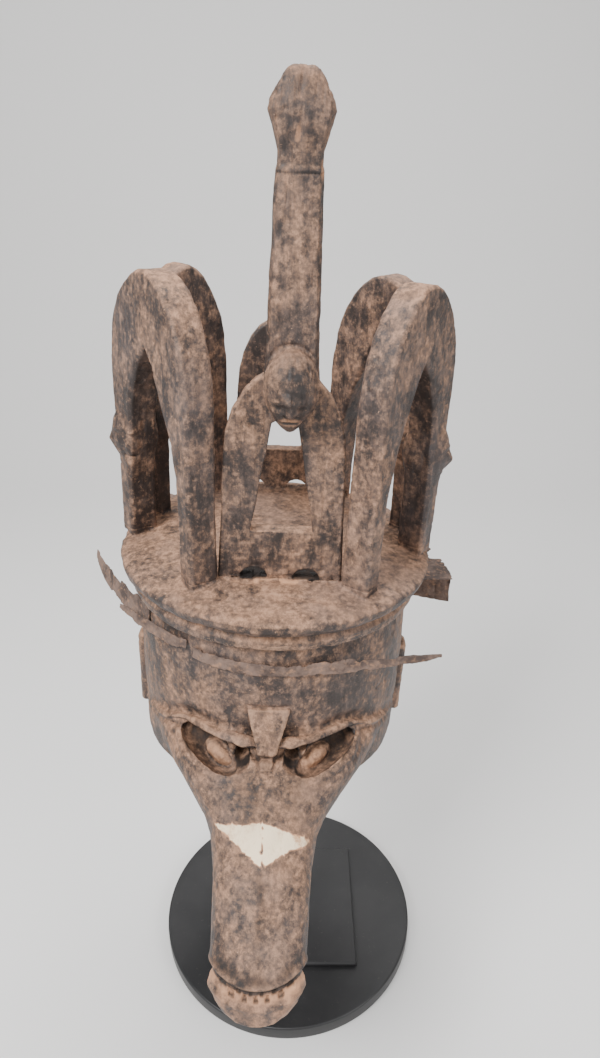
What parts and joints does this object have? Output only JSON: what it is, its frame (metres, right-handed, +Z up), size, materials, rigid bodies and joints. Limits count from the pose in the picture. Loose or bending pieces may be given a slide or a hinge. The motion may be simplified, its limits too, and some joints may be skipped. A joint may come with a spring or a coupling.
{
  "type": "igbo helmet mask",
  "caption": "Carved wooden helmet mask with a long toothed muzzle, a ring of arches on its crown and a post ending in a snake's head, on a round black stand.",
  "frame": {"origin": "centre of the stand's underside, on the floor", "axes": "+Z up, along the stand's rod; the mask's face looks along -Y; +X is on the right as the viewer faces the mask"},
  "size_m": [0.3619, 0.4283, 0.9156],
  "materials": {
    "carved_wood": "dark worn patina, matt, with dust in the carving",
    "rusted_iron": "thin rusted sheet, matt",
    "black_stand": "satin black"
  },
  "bodies": {
    "root": {"mask": "carved_wood", "strip_front": "rusted_iron", "strip_left": "rusted_iron", "strip_left_long": "rusted_iron", "strip_left_short": "rusted_iron", "strip_right_low": "rusted_iron", "brim_right": "rusted_iron", "brim_left": "rusted_iron", "stand_foot": "black_stand", "stand_block": "black_stand", "stand_rod": "black_stand"}
  },
  "joints": []
}
